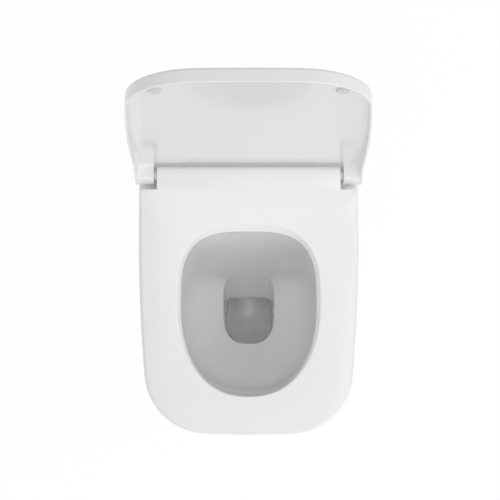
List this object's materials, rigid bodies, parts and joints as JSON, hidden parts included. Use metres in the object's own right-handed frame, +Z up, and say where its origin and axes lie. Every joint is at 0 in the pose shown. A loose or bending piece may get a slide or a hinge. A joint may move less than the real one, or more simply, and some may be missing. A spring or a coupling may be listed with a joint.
{
  "type": "wall hung toilet",
  "caption": "Wall hung ceramic toilet pan with lift-off soft-close seat and cover, trapway, flush inlet and concealed wall fixing.",
  "frame": {"origin": "on the wall face, midway between the two wall studs, at the studs' height", "axes": "+Z up, +Y into the wall, the pan reaches forward along -Y, +X to the right seen from the front"},
  "size_m": [0.368, 0.53, 0.7892],
  "materials": {
    "ceramic": "glossy white glaze",
    "seat_plastic": "polished white thermoset",
    "white_plastic": "smooth white",
    "buffer_plastic": "soft white elastomer",
    "grey_plastic": "moulded grey",
    "soft_rubber": "matte",
    "foam": "closed-cell foam sheet",
    "zinc_steel": "bright zinc plate",
    "stainless": "satin stainless"
  },
  "bodies": {
    "pan_body": {"pan": "ceramic", "wall_mat": "foam", "fixing_bracket_left": "zinc_steel", "fixing_bracket_right": "zinc_steel", "bracket_washers": "zinc_steel", "bracket_nuts": "zinc_steel", "clamp_screw_left": "zinc_steel", "clamp_screw_right": "zinc_steel", "side_sleeve_left": "grey_plastic", "side_sleeve_right": "grey_plastic", "side_cap_left": "white_plastic", "side_cap_right": "white_plastic", "base_pads": "soft_rubber", "hinge_base_left": "stainless", "hinge_base_right": "stainless", "seat_bolt_left": "stainless", "seat_bolt_right": "stainless", "anchor_sleeve_left": "soft_rubber", "anchor_sleeve_right": "soft_rubber", "anchor_nut_left": "stainless", "anchor_nut_right": "stainless"},
    "hinge_carriage": {"hinge_post_left": "stainless", "hinge_post_right": "stainless", "hinge_pin_left": "stainless", "hinge_pin_right": "stainless", "hinge_collars": "white_plastic", "release_clip_left": "stainless", "release_clip_right": "stainless", "button_spring_left": "stainless", "button_spring_right": "stainless"},
    "button_left": {"release_button_left": "white_plastic"},
    "button_right": {"release_button_right": "white_plastic"},
    "seat": {"seat_ring": "seat_plastic", "seat_buffers": "buffer_plastic", "seat_damper_left": "grey_plastic", "seat_bush_right": "white_plastic"},
    "cover": {"lid": "seat_plastic", "lid_buffers": "buffer_plastic", "lid_damper_right": "grey_plastic", "lid_bush_left": "white_plastic"}
  },
  "joints": [
    {"name": "seat_lift_off", "type": "slide", "parent": "pan_body", "child": "hinge_carriage", "axis": [0, 0, 1], "range_m": [0, 0.05], "deforming": ["release_clip_left", "release_clip_right"]},
    {"name": "seat_hinge", "type": "hinge", "parent": "hinge_carriage", "child": "seat", "pos_m": [0, -0.111, 0.0995], "axis": [-1, 0, 0], "range_deg": [0, 98]},
    {"name": "cover_hinge", "type": "hinge", "parent": "hinge_carriage", "child": "cover", "pos_m": [0, -0.111, 0.0995], "axis": [-1, 0, 0], "range_deg": [-99, 0]},
    {"name": "release_button_left", "type": "slide", "parent": "hinge_carriage", "child": "button_left", "axis": [-1, 0, 0], "range_m": [0, 0.003], "stiffness_N_per_m": 300, "springref_m": -0.003, "deforming": ["button_spring_left"]},
    {"name": "release_button_right", "type": "slide", "parent": "hinge_carriage", "child": "button_right", "axis": [1, 0, 0], "range_m": [0, 0.003], "stiffness_N_per_m": 300, "springref_m": -0.003, "deforming": ["button_spring_right"]}
  ]
}
